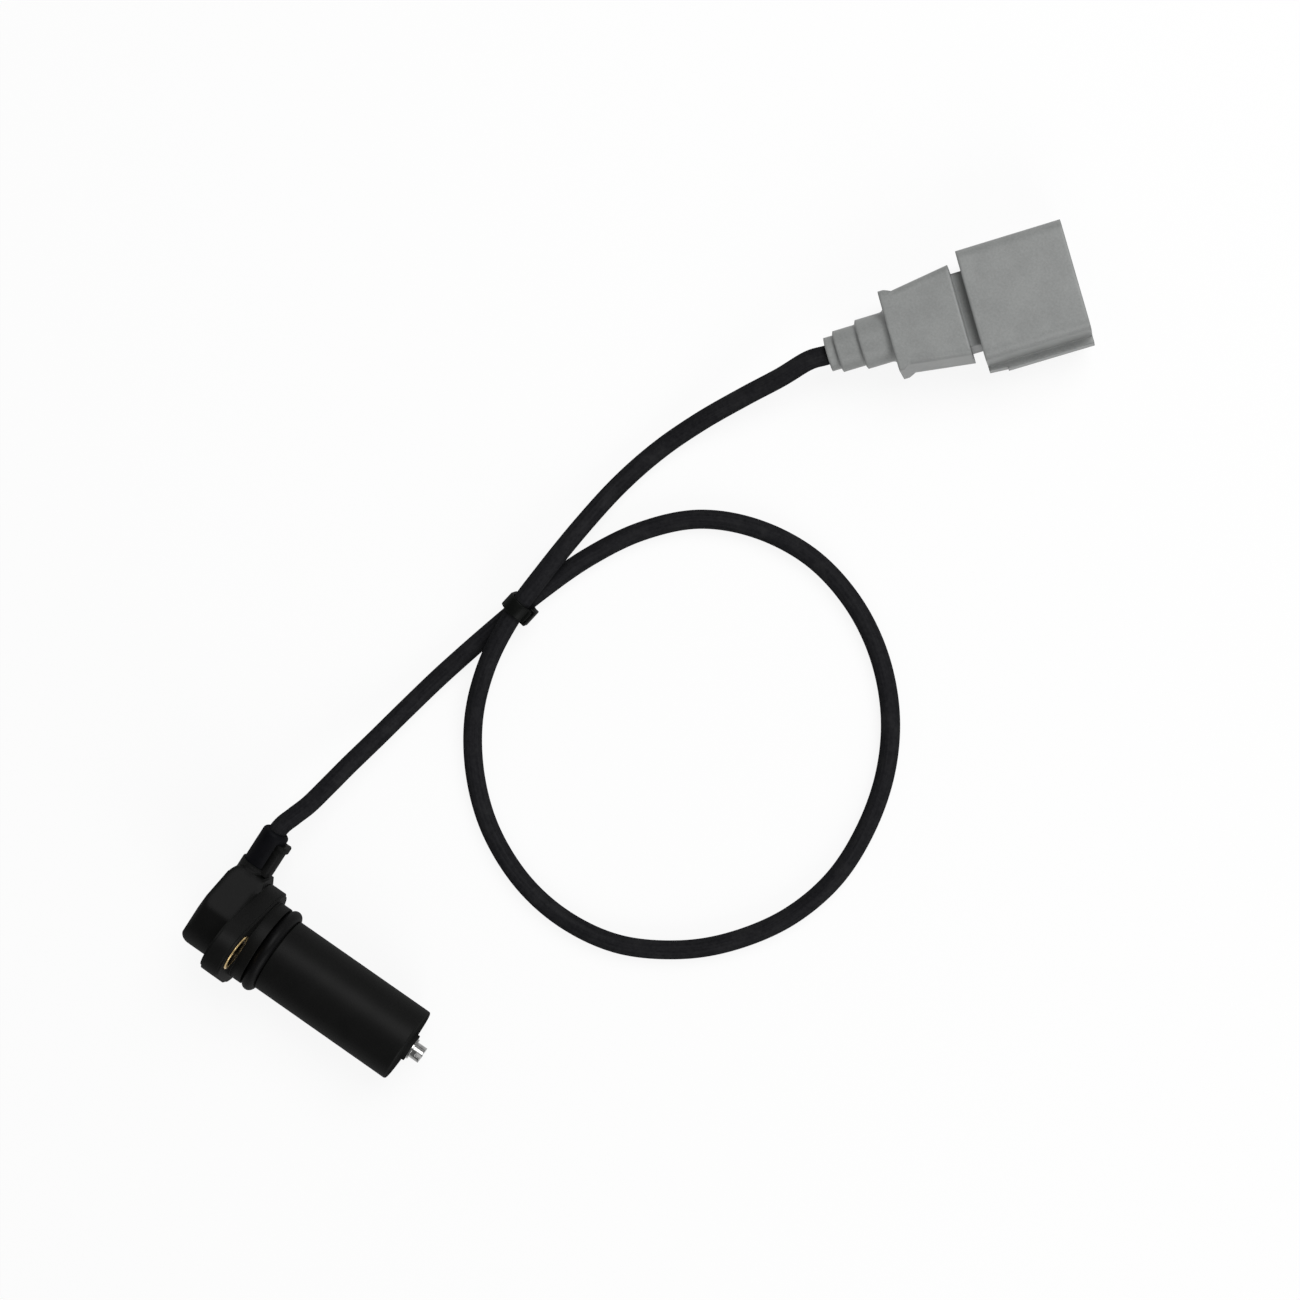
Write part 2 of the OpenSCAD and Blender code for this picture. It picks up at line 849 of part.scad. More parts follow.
sensor_housing();
mounting_bush();
o_ring();
pole_pin();
pole_magnet();
coil_bobbin();
coil_winding();
coil_terminal_1();
coil_terminal_2();
cable_grommet();
cable();
cable_tie();
connector_housing();
cable_seal_ring();
contact_pin_1();
contact_pin_2();
contact_pin_3();
core_1();
core_2();
core_3();
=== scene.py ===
"""Looks of a crankshaft position sensor: inductive sensor, cable tied in a loop and flat connector."""

import json
import math

import bmesh
import bpy
from mathutils import Euler, Matrix, Vector


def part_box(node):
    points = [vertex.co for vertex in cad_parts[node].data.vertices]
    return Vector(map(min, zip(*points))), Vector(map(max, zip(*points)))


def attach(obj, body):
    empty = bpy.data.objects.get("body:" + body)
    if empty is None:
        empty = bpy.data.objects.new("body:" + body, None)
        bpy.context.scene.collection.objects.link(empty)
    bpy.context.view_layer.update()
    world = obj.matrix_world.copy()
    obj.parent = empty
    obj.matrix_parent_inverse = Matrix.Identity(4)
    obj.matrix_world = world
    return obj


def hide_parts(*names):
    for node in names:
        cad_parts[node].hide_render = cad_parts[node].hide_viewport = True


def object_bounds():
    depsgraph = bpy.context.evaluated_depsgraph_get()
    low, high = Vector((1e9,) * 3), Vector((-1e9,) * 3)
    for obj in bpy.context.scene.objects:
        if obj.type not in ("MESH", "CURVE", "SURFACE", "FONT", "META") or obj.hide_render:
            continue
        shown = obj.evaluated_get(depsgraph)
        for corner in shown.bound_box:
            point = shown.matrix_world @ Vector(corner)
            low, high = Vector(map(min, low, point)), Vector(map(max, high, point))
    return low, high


MM = 0.001

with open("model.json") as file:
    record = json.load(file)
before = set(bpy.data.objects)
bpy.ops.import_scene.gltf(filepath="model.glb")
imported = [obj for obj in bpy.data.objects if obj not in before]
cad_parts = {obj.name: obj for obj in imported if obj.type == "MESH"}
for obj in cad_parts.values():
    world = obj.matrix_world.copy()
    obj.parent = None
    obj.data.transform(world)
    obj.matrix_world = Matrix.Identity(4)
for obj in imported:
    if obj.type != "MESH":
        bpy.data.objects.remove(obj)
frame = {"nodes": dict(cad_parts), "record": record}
cad_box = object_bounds()
nodes = frame["nodes"]
mounts = {mount["name"]: mount for mount in frame["record"]["mounts"]}


def to_mm(metres):
    """Metres as millimetres to a tenth, without the small error that a mesh of a round shape has."""
    return round(metres / MM, 1)


# Places that the frame gives, in millimetres
grommet_low, grommet_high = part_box("cable_grommet")
FLOOR_Z = to_mm(cad_box[0].z)
EXIT_X = to_mm((grommet_low.x + grommet_high.x) / 2)
GROMMET_END_Y = to_mm(grommet_high.y)
CABLE_IN_Y = to_mm(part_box("cable")[0].y)
BUSH_Z = to_mm(mounts["screw_hole"]["pos_m"][2])
BUSH_BORE_R = mounts["screw_hole"]["dims"]["r_mm"]

# Sizes that are the same in the CAD model, in millimetres; U runs along the connector from its cable end
CABLE_D = 4.3
BARREL_L = 42.6
SHELL_W = 24.8
SHELL_H = 16
SHELL_ROUND = 2.6
CONNECTOR_TURN = math.radians(50)
CONNECTOR_LEAN = math.radians(9)
CONNECTOR_X = 35.1
CONNECTOR_Y = 181.9
CABLE_IN_U = 11.6
TIE_AT = Vector((8.4, 97.4, 0))
TIE_TURN = math.radians(-9.5)
TIE_CLEAR = 0.55
TIE_T = 0.9
STRAND_GAP = 0.15

# The connector rests on the rounded lower edge of its shell
CONNECTOR_UP = ((SHELL_W / 2 - SHELL_ROUND) * math.sin(CONNECTOR_LEAN)
                + (SHELL_H / 2 - SHELL_ROUND) * math.cos(CONNECTOR_LEAN) + SHELL_ROUND)
CONNECTOR_AT = Vector((CONNECTOR_X, CONNECTOR_Y, FLOOR_Z + CONNECTOR_UP))
CONNECTOR_WAY = Vector((math.cos(CONNECTOR_TURN), math.sin(CONNECTOR_TURN), 0))

# Route of the cable's middle: through the grommet, along listed points, into the connector
ROUTE_FREE = [
    (-8.1, 28.8, -0.4), (-6.7, 33, -1), (-5.5, 38.9, -2), (-4.3, 45.3, -3.2), (-2.6, 53.5, -5),
    (-0.6, 63.5, -6.9), (2, 75, -7.9), (6.2, 90, -7.2), (10.1, 102.5, -7.2), (15, 115, -8),
    (21.7, 126.5, -8.4), (31, 136, -8.4), (43, 141.5, -8.4), (56.5, 143, -8.4), (69.5, 140, -8.4),
    (81, 133.5, -8.4), (90.5, 124, -8.4), (97, 112.5, -8.4), (100.5, 99.5, -8.4), (101, 86, -8.4),
    (97.5, 73, -8.4), (90.5, 61.5, -8.4), (81.5, 52.5, -8.4), (69.5, 45.5, -8.4), (56.5, 43, -8.4),
    (43.5, 44.5, -8.4), (31, 50, -8.4), (21, 58.5, -8.2), (13.5, 69.5, -7.2), (9.6, 82, -4.6),
    (8.5, 95, -2.7), (9.2, 108.5, -3.4), (10.3, 121.5, -6.1), (12.1, 133.2, -7.8), (15.2, 144.2, -7.9),
    (19.6, 154.6, -6.6), (24.8, 164.4, -4.2), (29.4, 172.5, -2.3),
]
ROUTE_IN_Y = [CABLE_IN_Y, (CABLE_IN_Y + GROMMET_END_Y) / 2, GROMMET_END_Y + 0.5]
ROUTE_IN_U = [-4, 0.4, CABLE_IN_U / 2, CABLE_IN_U]
ROUTE = [Vector((EXIT_X, y, 0)) for y in ROUTE_IN_Y]
ROUTE += [Vector(p) for p in ROUTE_FREE]
ROUTE += [CONNECTOR_AT + CONNECTOR_WAY * u for u in ROUTE_IN_U]


def add_object(name, data):
    """A new object in the scene with this mesh, camera or lamp."""
    obj = bpy.data.objects.new(name, data)
    bpy.context.scene.collection.objects.link(obj)
    return obj


def make_object(name, verts, faces, material, uvs=None):
    """A smooth mesh object in metres from points in millimetres; uvs has one pair for each face corner."""
    mesh = bpy.data.meshes.new(name)
    mesh.from_pydata([Vector(v) * MM for v in verts], [], faces)
    if uvs:
        layer = mesh.uv_layers.new(name="UVMap")
        for corner, uv in zip(layer.data, uvs):
            corner.uv = uv
    mesh.materials.append(material)
    for face in mesh.polygons:
        face.use_smooth = True
    return add_object(name, mesh)


# Building blocks of the materials; these are the sockets of the Mix node when it mixes colours
MIX_FACTOR = 0
MIX_LOW = 6
MIX_HIGH = 7
MIX_RESULT = 2


def new_material(name):
    """A material with its node tree and its main shader."""
    material = bpy.data.materials.new(name)
    material.use_nodes = True
    tree = material.node_tree
    return material, tree, tree.nodes["Principled BSDF"]


def add(tree, kind, values=None, **settings):
    """A node of that kind, with values for its sockets and settings of its own."""
    node = tree.nodes.new(kind)
    for key, value in settings.items():
        setattr(node, key, value)
    for key, value in (values or {}).items():
        node.inputs[key].default_value = value
    return node


def place(tree):
    """Position on the part, in metres."""
    return add(tree, "ShaderNodeTexCoord").outputs["Object"]


def along_x(tree, where):
    """The X of a position."""
    split = add(tree, "ShaderNodeSeparateXYZ")
    tree.links.new(where, split.inputs[0])
    return split.outputs["X"]


def mapped(tree, where, scale, location=(0, 0, 0)):
    """A position that is scaled and then moved."""
    node = add(tree, "ShaderNodeMapping", {"Location": location, "Scale": scale})
    tree.links.new(where, node.inputs["Vector"])
    return node.outputs["Vector"]


def calculate(tree, operation, first, second):
    """A calculation with two values, the second a value of the tree or a plain number."""
    node = add(tree, "ShaderNodeMath", operation=operation)
    tree.links.new(first, node.inputs[0])
    if isinstance(second, float):
        node.inputs[1].default_value = second
    else:
        tree.links.new(second, node.inputs[1])
    return node.outputs[0]


def noise(tree, where, scale, detail=3, roughness=0.55):
    """Noise around 0.5, with scale cells to each unit of the position."""
    node = add(tree, "ShaderNodeTexNoise", {"Scale": scale, "Detail": detail, "Roughness": roughness})
    tree.links.new(where, node.inputs["Vector"])
    return node.outputs["Fac"]


def spread(tree, value, low, high, to_low=0.0, to_high=1.0):
    """A value with its stretch from low to high laid over to_low to to_high, and held at those ends."""
    node = add(tree, "ShaderNodeMapRange",
               {"From Min": low, "From Max": high, "To Min": to_low, "To Max": to_high})
    tree.links.new(value, node.inputs["Value"])
    return node.outputs["Result"]


def mix_colour(tree, factor, low, high):
    """The colour low where factor is 0 and high where it is 1; each is three numbers or from the tree."""
    node = add(tree, "ShaderNodeMix", data_type="RGBA")
    tree.links.new(factor, node.inputs[MIX_FACTOR])
    for index, colour in ((MIX_LOW, low), (MIX_HIGH, high)):
        if isinstance(colour, tuple):
            node.inputs[index].default_value = (*colour, 1)
        else:
            tree.links.new(colour, node.inputs[index])
    return node.outputs[MIX_RESULT]


def bump(tree, height, strength, distance, normal=None):
    """A normal that follows a height, on top of another normal where there is one."""
    node = add(tree, "ShaderNodeBump", {"Strength": strength, "Distance": distance})
    tree.links.new(height, node.inputs["Height"])
    if normal:
        tree.links.new(normal, node.inputs["Normal"])
    return node.outputs["Normal"]


def soft_edges(tree, radius_mm, wide=None):
    """Normal that is rounded at sharp edges, wider behind the X that wide gives with its radius."""
    bevel = add(tree, "ShaderNodeBevel", {"Radius": radius_mm * MM}, samples=8)
    if wide:
        behind_x, wide_mm = wide
        fade_mm = 0.3
        x = along_x(tree, place(tree))
        radius = spread(tree, x, (behind_x - fade_mm) * MM, behind_x * MM, wide_mm * MM, radius_mm * MM)
        tree.links.new(radius, bevel.inputs["Radius"])
    return bevel.outputs["Normal"]


def edge_mask(tree, normal):
    """1 where a rounded normal leans away from the surface's own, so on the edges, and 0 elsewhere."""
    geometry = add(tree, "ShaderNodeNewGeometry")
    dot = add(tree, "ShaderNodeVectorMath", operation="DOT_PRODUCT")
    tree.links.new(normal, dot.inputs[0])
    tree.links.new(geometry.outputs["Normal"], dot.inputs[1])
    return spread(tree, dot.outputs["Value"], low=0.98, high=0.8)


def set_gloss(tree, shader, gloss, sheen, roughness, rough_map, normal):
    """Gloss of the surface itself, and a weak sheen over it that leaves dark pieces dark along their rim."""
    shader.inputs["Specular IOR Level"].default_value = gloss
    shader.inputs["Coat Weight"].default_value = sheen
    shader.inputs["Coat Roughness"].default_value = roughness
    tree.links.new(rough_map, shader.inputs["Roughness"])
    tree.links.new(normal, shader.inputs["Normal"])
    tree.links.new(normal, shader.inputs["Coat Normal"])


# Kinds of material
def moulded(name, dark, light, worn, roughness, gloss=0.0, sheen=0.0, edge_mm=0.3, grain_mm=0.35,
            wide=None, matt_from=None):
    """Moulded plastic: flow mottling, fine grain, worn edges, and beyond the X of matt_from a matt face
    painted a lighter tone in place of the reflection it lacks.
    """
    material, tree, shader = new_material(name)
    where = place(tree)
    normal = soft_edges(tree, edge_mm, wide)
    flow = noise(tree, where, scale=180, detail=4)
    grain = noise(tree, where, scale=1 / (grain_mm * MM), detail=2, roughness=0.6)
    tone = spread(tree, calculate(tree, "ADD", flow, grain), low=0.7, high=1.3)
    colour = mix_colour(tree, tone, dark, light)
    scuff = spread(tree, noise(tree, where, scale=900, detail=5, roughness=0.7), low=0.45, high=0.75)
    wear = calculate(tree, "MULTIPLY", edge_mask(tree, normal), scuff)
    colour = mix_colour(tree, wear, colour, worn)
    rough_map = spread(tree, grain, 0.3, 0.7, roughness - 0.06, roughness + 0.06)
    grainy = bump(tree, grain, strength=0.5, distance=0.02 * MM, normal=normal)
    set_gloss(tree, shader, gloss, sheen, roughness, rough_map, grainy)
    # Beyond matt_from the face has no sheen and is painted the lighter worn tone, a painted light in place
    # of the reflection it lacks
    if matt_from:
        fade_mm = 0.2
        x = along_x(tree, where)
        behind = spread(tree, x, (matt_from - fade_mm) * MM, matt_from * MM, to_low=1.0, to_high=0.0)
        colour = mix_colour(tree, behind, worn, colour)
        tree.links.new(spread(tree, behind, 0, 1, 0.0, sheen), shader.inputs["Coat Weight"])
    tree.links.new(colour, shader.inputs["Base Color"])
    return material


def rubber(name, dark, light, roughness, gloss=0.0, sheen=0.0):
    """Rubber: dull, with a fine bloom."""
    material, tree, shader = new_material(name)
    where = place(tree)
    bloom = spread(tree, noise(tree, where, scale=420, detail=5, roughness=0.65), low=0.35, high=0.75)
    grain = noise(tree, where, scale=4200, detail=2)
    tree.links.new(mix_colour(tree, bloom, dark, light), shader.inputs["Base Color"])
    rough_map = spread(tree, bloom, 0, 1, roughness - 0.05, roughness + 0.08)
    grainy = bump(tree, grain, strength=0.4, distance=0.015 * MM)
    set_gloss(tree, shader, gloss, sheen, roughness, rough_map, grainy)
    return material


def paint_bore_shade(tree, where, colour, inside):
    """The colour, with a painted shade inside the bush's bore, which runs along X."""
    fade_from = (BUSH_BORE_R + 0.02) * MM
    fade_to = (BUSH_BORE_R + 0.12) * MM
    across = mapped(tree, where, scale=(0, 1, 1), location=(0, 0, -BUSH_Z * MM))
    reach = add(tree, "ShaderNodeVectorMath", operation="LENGTH")
    tree.links.new(across, reach.inputs[0])
    outside = spread(tree, reach.outputs["Value"], fade_from, fade_to)
    return mix_colour(tree, outside, inside, colour)


def worked_metal(name, colour, tarnish, roughness, line_scale, edge_mm=0.15, bore_shade=None):
    """Turned or drawn metal: fine lines, close along the axis with the highest scale, some tarnish, and
    painted shade in a bore where one is given.
    """
    material, tree, shader = new_material(name)
    where = place(tree)
    lines = noise(tree, mapped(tree, where, line_scale), scale=1.0, detail=3, roughness=0.6)
    stain = spread(tree, noise(tree, where, scale=700, detail=4, roughness=0.6), low=0.45, high=0.75)
    colour = mix_colour(tree, stain, colour, tarnish)
    # Painted shade: the inside of the bore is coloured dark where the brass is only in shade
    if bore_shade:
        colour = paint_bore_shade(tree, where, colour, bore_shade)
    rough_map = spread(tree, lines, 0.3, 0.7, roughness - 0.08, roughness + 0.1)
    normal = bump(tree, lines, strength=0.35, distance=0.006 * MM, normal=soft_edges(tree, edge_mm))
    tree.links.new(colour, shader.inputs["Base Color"])
    tree.links.new(rough_map, shader.inputs["Roughness"])
    tree.links.new(normal, shader.inputs["Normal"])
    shader.inputs["Metallic"].default_value = 1
    return material


def jacket(name, dark, light, dusty, sheen, roughness):
    """Extruded cable jacket: fine lines along its length, slight sheen, dusty marks here and there."""
    material, tree, shader = new_material(name)
    where = place(tree)
    uv = add(tree, "ShaderNodeUVMap", uv_map="UVMap").outputs["UV"]
    lines = noise(tree, mapped(tree, uv, scale=(0.05, 26, 1)), scale=1.0, detail=3, roughness=0.6)
    mottle = noise(tree, where, scale=1100, detail=3, roughness=0.7)
    tone = spread(tree, calculate(tree, "ADD", lines, mottle), low=0.75, high=1.25)
    dust = spread(tree, noise(tree, where, scale=160, detail=6, roughness=0.7), low=0.5, high=0.8)
    colour = mix_colour(tree, dust, mix_colour(tree, tone, dark, light), dusty)
    tree.links.new(colour, shader.inputs["Base Color"])
    lined = bump(tree, lines, strength=0.25, distance=0.02 * MM)
    fine = noise(tree, where, scale=5200, detail=2)
    normal = bump(tree, fine, strength=0.35, distance=0.012 * MM, normal=lined)
    rough_map = spread(tree, dust, 0, 1, roughness - 0.06, roughness + 0.1)
    set_gloss(tree, shader, 0.0, sheen, roughness, rough_map, normal)
    return material


def winding(name, dark, light, wire_mm):
    """Enamelled copper wire, turn beside turn along X."""
    material, tree, shader = new_material(name)
    where = place(tree)
    angle = calculate(tree, "MULTIPLY", along_x(tree, where), 2 * math.pi / (wire_mm * MM))
    wave = add(tree, "ShaderNodeMath", operation="SINE")
    tree.links.new(angle, wave.inputs[0])
    height = spread(tree, wave.outputs[0], low=-1, high=1)
    stain = spread(tree, noise(tree, where, scale=500, detail=4), low=0.3, high=0.7)
    tree.links.new(mix_colour(tree, stain, dark, light), shader.inputs["Base Color"])
    tree.links.new(bump(tree, height, strength=0.6, distance=0.05 * MM), shader.inputs["Normal"])
    shader.inputs["Metallic"].default_value = 1
    shader.inputs["Roughness"].default_value = 0.34
    return material


def core_skin(name, dark, light, worn):
    """Insulation of one of the cable's cores."""
    return moulded(name, dark, light, worn, roughness=0.4, gloss=0.45, edge_mm=0.1)


# Materials of the part, with colours as linear red, green and blue
WIDE_EDGES_BEHIND_X = -5.0
WIDE_EDGE_MM = 1.8
BRASS = (0.62, 0.46, 0.22)
BRASS_TARNISH = (0.42, 0.29, 0.13)

# How close the lines of a worked metal lie along X, Y and Z
TURNED_BUSH = (9000, 500, 500)
TURNED_POLE = (9000, 700, 700)
SINTERED = (1500, 1500, 1500)
DRAWN = (900, 900, 9000)

# The nose face beyond BARREL_L is matt and painted lighter, in place of the reflection it lacks
black_plastic = moulded(
    "black_plastic", dark=(0.0048, 0.0049, 0.0048), light=(0.0073, 0.0074, 0.0072),
    worn=(0.016, 0.016, 0.016), roughness=0.46, sheen=0.16,
    wide=(WIDE_EDGES_BEHIND_X, WIDE_EDGE_MM), matt_from=BARREL_L)
grey_plastic = moulded(
    "grey_plastic", dark=(0.232, 0.239, 0.235), light=(0.288, 0.296, 0.291), worn=(0.29, 0.297, 0.292),
    roughness=0.46, gloss=0.4, edge_mm=0.9, grain_mm=0.5)
nylon_black = moulded(
    "nylon_black", dark=(0.0026, 0.003, 0.0027), light=(0.0044, 0.005, 0.0044), worn=(0.02, 0.021, 0.02),
    roughness=0.42, sheen=0.16, edge_mm=0.12)
bobbin_plastic = moulded(
    "bobbin_plastic", dark=(0.55, 0.5, 0.4), light=(0.62, 0.57, 0.47), worn=(0.7, 0.66, 0.56),
    roughness=0.5, gloss=0.4)
core_red = core_skin("core_red", (0.3, 0.03, 0.02), (0.36, 0.045, 0.03), (0.4, 0.08, 0.06))
core_blue = core_skin("core_blue", (0.03, 0.045, 0.24), (0.04, 0.06, 0.3), (0.08, 0.1, 0.34))
core_screen = core_skin("core_screen", (0.1, 0.1, 0.105), (0.13, 0.13, 0.135), (0.18, 0.18, 0.18))
ring_rubber = rubber(
    "ring_rubber", dark=(0.0028, 0.0028, 0.003), light=(0.005, 0.005, 0.0054), roughness=0.46, sheen=0.18)
grommet_rubber = rubber(
    "grommet_rubber", dark=(0.0026, 0.0027, 0.0036), light=(0.0046, 0.0047, 0.0062),
    roughness=0.55, sheen=0.12)
seal_rubber = rubber(
    "seal_rubber", dark=(0.02, 0.02, 0.022), light=(0.035, 0.035, 0.037), roughness=0.55, gloss=0.35)
cable_jacket = jacket(
    "cable_jacket", dark=(0.0094, 0.0094, 0.0108), light=(0.0185, 0.0185, 0.0202),
    dusty=(0.026, 0.026, 0.0272), sheen=0.05, roughness=0.56)
# The bush's brass carries a painted shade inside its bore
brass = worked_metal(
    "brass", BRASS, BRASS_TARNISH, 0.32, TURNED_BUSH, edge_mm=0.7, bore_shade=(0.02, 0.016, 0.01))
terminal_brass = worked_metal("terminal_brass", BRASS, BRASS_TARNISH, 0.32, DRAWN, edge_mm=0.1)
steel = worked_metal("steel", (0.32, 0.32, 0.315), (0.1, 0.1, 0.1), 0.2, TURNED_POLE)
magnet_metal = worked_metal("magnet_metal", (0.3, 0.3, 0.31), (0.2, 0.2, 0.21), 0.45, SINTERED)
tin = worked_metal("tin", (0.7, 0.68, 0.62), (0.58, 0.55, 0.48), 0.44, DRAWN, edge_mm=0.1)
copper = winding("copper", dark=(0.42, 0.15, 0.06), light=(0.56, 0.24, 0.11), wire_mm=0.16)

LOOKS = {
    "sensor_housing": black_plastic, "mounting_bush": brass, "o_ring": ring_rubber, "pole_pin": steel,
    "pole_magnet": magnet_metal, "coil_bobbin": bobbin_plastic, "coil_winding": copper,
    "coil_terminal_1": terminal_brass, "coil_terminal_2": terminal_brass,
    "cable_grommet": grommet_rubber, "cable": cable_jacket, "cable_tie": nylon_black,
    "connector_housing": grey_plastic, "cable_seal_ring": seal_rubber,
    "contact_pin_1": tin, "contact_pin_2": tin, "contact_pin_3": tin,
    "core_1": core_red, "core_2": core_blue, "core_3": core_screen,
}
for name, material in LOOKS.items():
    slots = nodes[name].material_slots
    if not slots:
        nodes[name].data.materials.append(material)
    for slot in slots:
        slot.material = material


# Camera at the photograph's place, in metres and degrees
SENSOR_MM = 36
LENS_MM = 72.43
CAMERA_AT = (0.0830, 0.1957, 0.5707)
CAMERA_TURN = (-4.93, 8.57, 33.5)

camera_data = bpy.data.cameras.new("camera")
camera_data.sensor_fit = "HORIZONTAL"
camera_data.sensor_width = SENSOR_MM
camera_data.lens = LENS_MM
camera = add_object("camera", camera_data)
camera.location = CAMERA_AT
camera.rotation_euler = Euler([math.radians(angle) for angle in CAMERA_TURN], "XYZ")
bpy.context.scene.camera = camera


# Cable
CABLE_SIDES = 32
CABLE_STEPS = 10


def smooth_path(points, steps):
    """A smooth curve through the points, with the given number of steps between two of them."""
    path = []
    last = len(points) - 1
    for i in range(last):
        a = points[max(i - 1, 0)]
        b = points[i]
        c = points[i + 1]
        d = points[min(i + 2, last)]
        for k in range(steps):
            t = k / steps
            path.append(0.5 * (2 * b + (c - a) * t + (2 * a - 5 * b + 4 * c - d) * t * t
                               + (3 * b - 3 * c + d - a) * t * t * t))
    path.append(points[last])
    return path


def tube(name, path, radius, sides, material):
    """A round tube along the path, closed at both ends, with its length and turn as UV."""
    last = len(path) - 1
    verts = []
    lengths = [0.0]
    side = None
    for i, point in enumerate(path):
        way = (path[min(i + 1, last)] - path[max(i - 1, 0)]).normalized()
        if side is None:
            side = way.cross(Vector((0, 0, 1))).normalized()
        side = (side - way * side.dot(way)).normalized()
        up = side.cross(way)
        if i:
            lengths.append(lengths[-1] + (point - path[i - 1]).length)
        for k in range(sides):
            angle = 2 * math.pi * k / sides
            verts.append(point + radius * (math.cos(angle) * side + math.sin(angle) * up))
    faces = []
    uvs = []
    for i in range(last):
        for k in range(sides):
            n = (k + 1) % sides
            faces.append((i * sides + k, (i + 1) * sides + k, (i + 1) * sides + n, i * sides + n))
            uvs += [(lengths[i], k / sides), (lengths[i + 1], k / sides),
                    (lengths[i + 1], (k + 1) / sides), (lengths[i], (k + 1) / sides)]
    faces.append(tuple(range(sides)))
    faces.append(tuple(last * sides + k for k in reversed(range(sides))))
    uvs += [(0, 0)] * (2 * sides)
    return make_object(name, verts, faces, material, uvs)


cable_path = smooth_path(ROUTE, CABLE_STEPS)
cable = tube("cable_run", cable_path, CABLE_D / 2, CABLE_SIDES, cable_jacket)
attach(cable, "root")
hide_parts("cable")


# Cable tie, in its own frame: X to its head, Y along the strands, Z up, in millimetres
LOW_STRAND_Z = FLOOR_Z + CABLE_D / 2 + TIE_CLEAR + TIE_T
HIGH_STRAND_Z = LOW_STRAND_Z + CABLE_D + STRAND_GAP
STRAP_CLEAR = 0.28
STRAP_IN_R = CABLE_D / 2 + STRAP_CLEAR
STRAP_T = 0.75
STRAP_W = 3.4
STRAP_ROUND = 0.22
STRAP_STEPS = 24
HEAD_L = 1.6
HEAD_W = 4.3
HEAD_H = 3.9
HEAD_RAISE = 0.8
HEAD_X = STRAP_IN_R + HEAD_L / 2
HEAD_Z = (LOW_STRAND_Z + HIGH_STRAND_Z) / 2 + HEAD_RAISE
CHEEK_LAP = 0.12
CHEEK_T = (HEAD_W - STRAP_W) / 2 + CHEEK_LAP
CHEEK_BEVEL = 0.28
WALL_T = 0.45
WALL_W = HEAD_W - 0.5
WALL_BEVEL = 0.18
FRONT_H = HEAD_H - 0.1
REAR_H = HEAD_H - 0.5
TAIL_T = 0.6
TAIL_W = STRAP_W - 0.4
TAIL_L = HEAD_H + 1.1
TAIL_X = HEAD_X - 0.1
TAIL_Z = HEAD_Z + 0.45
PAWL_SIZE = (0.3, 1.7, 1.6)
PAWL_X = TAIL_X + TAIL_T / 2 + 0.12
PAWL_Z = HEAD_Z + 1.1
CUT_BEVEL = 0.1
CUT_SEGMENTS = 2
SHARP_FROM = math.radians(50)


def rounded_outline(width, height, radius, per_corner=4):
    """Points of a rectangle with round corners, in order."""
    points = []
    for cx, cy, start in ((1, 1, 0), (-1, 1, 90), (-1, -1, 180), (1, -1, 270)):
        for k in range(per_corner + 1):
            angle = math.radians(start + 90 * k / per_corner)
            points.append((cx * (width / 2 - radius) + radius * math.cos(angle),
                           cy * (height / 2 - radius) + radius * math.sin(angle)))
    return points


def strap_rings():
    """The band's sections on its way round the two strands."""
    section = rounded_outline(STRAP_T, STRAP_W, STRAP_ROUND)
    rings = []
    for centre_z, start in ((HIGH_STRAND_Z, 0), (LOW_STRAND_Z, 180)):
        middle = Vector((0, 0, centre_z))
        for k in range(STRAP_STEPS + 1):
            angle = math.radians(start + 180 * k / STRAP_STEPS)
            out = Vector((math.cos(angle), 0, math.sin(angle)))
            rings.append([middle + out * (STRAP_IN_R + STRAP_T / 2 + a) + Vector((0, b, 0))
                          for a, b in section])
    return rings


def solid(mesh):
    """An object from a bmesh, with its faces outward."""
    bmesh.ops.recalc_face_normals(mesh, faces=mesh.faces)
    data = bpy.data.meshes.new("solid")
    mesh.to_mesh(data)
    mesh.free()
    return add_object("solid", data)


def strap():
    """The band round the two strands."""
    mesh = bmesh.new()
    rings = [[mesh.verts.new(point) for point in ring] for ring in strap_rings()]
    for ring, following in zip(rings, rings[1:] + rings[:1]):
        for k in range(len(ring)):
            n = (k + 1) % len(ring)
            mesh.faces.new((ring[k], ring[n], following[n], following[k]))
    return solid(mesh)


def rounded_box(size, at, bevel, segments=3):
    """A box with rounded edges."""
    mesh = bmesh.new()
    made = bmesh.ops.create_cube(mesh, size=1)["verts"]
    bmesh.ops.scale(mesh, vec=size, verts=made)
    bmesh.ops.translate(mesh, vec=at, verts=made)
    bmesh.ops.bevel(mesh, geom=mesh.edges[:], offset=bevel, segments=segments, profile=0.5, affect="EDGES")
    return solid(mesh)


def tie_head():
    """Two cheeks, a front and a rear wall around the window that the strap's end runs through."""
    cheek_y = (HEAD_W - CHEEK_T) / 2
    front_x = HEAD_X + (HEAD_L - WALL_T) / 2
    rear_x = HEAD_X - (HEAD_L - WALL_T) / 2
    cheeks = [rounded_box((HEAD_L, CHEEK_T, HEAD_H), (HEAD_X, side * cheek_y, HEAD_Z), CHEEK_BEVEL)
              for side in (-1, 1)]
    front = rounded_box((WALL_T, WALL_W, FRONT_H), (front_x, 0, HEAD_Z), WALL_BEVEL)
    rear = rounded_box((WALL_T, WALL_W, REAR_H), (rear_x, 0, HEAD_Z), WALL_BEVEL)
    return cheeks + [front, rear]


